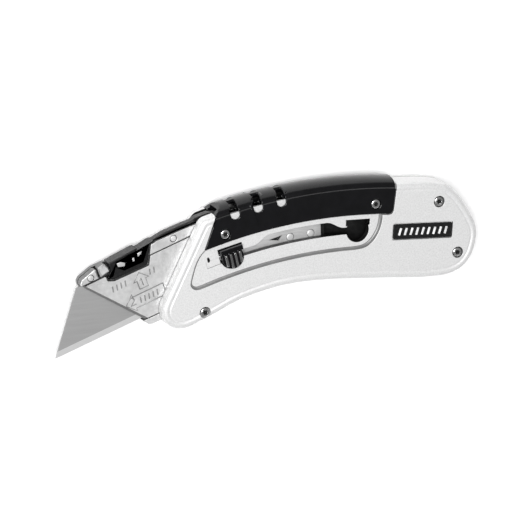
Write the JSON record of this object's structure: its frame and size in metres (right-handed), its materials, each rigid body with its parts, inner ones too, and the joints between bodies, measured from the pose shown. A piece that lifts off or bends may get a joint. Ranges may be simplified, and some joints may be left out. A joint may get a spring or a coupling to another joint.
{
  "type": "utility knife",
  "caption": "Curved-handle pocket utility knife: a thumb button slides a trapezoid blade and its carrier out along an arc; a lever frees the blade.",
  "frame": {"origin": "centre of the knife's box with the blade out, on the flat far face that it lies on", "axes": "+X from the blade's tip towards the handle's rear end, +Y towards the spine, +Z out of the side with the thumb button"},
  "size_m": [0.1448, 0.0504, 0.0139],
  "materials": {
    "shell_paint": "fine-grained satin silver paint on a zinc casting",
    "saddle_enamel": "glossy black enamel on formed sheet steel",
    "badge_plastic": "black moulded plate",
    "screw_steel": "bright zinc-plated steel",
    "carrier_zinc": "satin zinc casting",
    "rivet_steel": "plain steel",
    "spring_steel": "cold-rolled spring steel",
    "button_chrome": "dark chrome plate on a zinc casting",
    "lever_plastic": "black glass-filled nylon",
    "blade_steel": "ground carbon steel with a bright honed bevel"
  },
  "bodies": {
    "handle": {"near_shell": "shell_paint", "far_cover": "shell_paint", "spine_saddle": "saddle_enamel", "badge_plate": "badge_plastic", "screw_front_lower": "screw_steel", "screw_rear_upper": "screw_steel", "screw_rear_lower": "screw_steel", "saddle_screw_near_front": "screw_steel", "saddle_screw_near_rear": "screw_steel", "saddle_screw_far_front": "screw_steel", "saddle_screw_far_rear": "screw_steel"},
    "carrier": {"carrier_frame": "carrier_zinc", "carrier_cover": "carrier_zinc", "nose_block": "carrier_zinc", "latch_block": "carrier_zinc", "carrier_rivet_nose": "rivet_steel", "carrier_rivet_rear": "rivet_steel", "lever_pivot_pin": "rivet_steel", "spring_rivet_front": "rivet_steel", "spring_rivet_rear": "rivet_steel", "lock_spring": "spring_steel", "lever_spring": "spring_steel"},
    "thumb_button": {"thumb_button": "button_chrome"},
    "release_lever": {"release_lever": "lever_plastic"},
    "blade": {"blade": "blade_steel"}
  },
  "joints": [
    {"name": "carrier_slide", "type": "hinge", "parent": "handle", "child": "carrier", "pos_m": [0.02337, -0.15577, 0.0065], "axis": [0, 0, -1], "range_deg": [0, 15.41]},
    {"name": "thumb_press", "type": "slide", "parent": "carrier", "child": "thumb_button", "axis": [0, 0, -1], "range_m": [0, 0.0008], "stiffness_N_per_m": 1200, "springref_m": -0.0003, "deforming": ["lock_spring"]},
    {"name": "release_lift", "type": "hinge", "parent": "carrier", "child": "release_lever", "pos_m": [-0.01303, 0.01571, 0.0065], "axis": [0, 0, -1], "range_deg": [0, 1.1], "stiffness_Nm_per_rad": 0.15, "springref_deg": -1.15, "deforming": ["lever_spring"]},
    {"name": "blade_out", "type": "slide", "parent": "carrier", "child": "blade", "axis": [-0.942, -0.3356, 0], "range_m": [0, 0.04]}
  ]
}
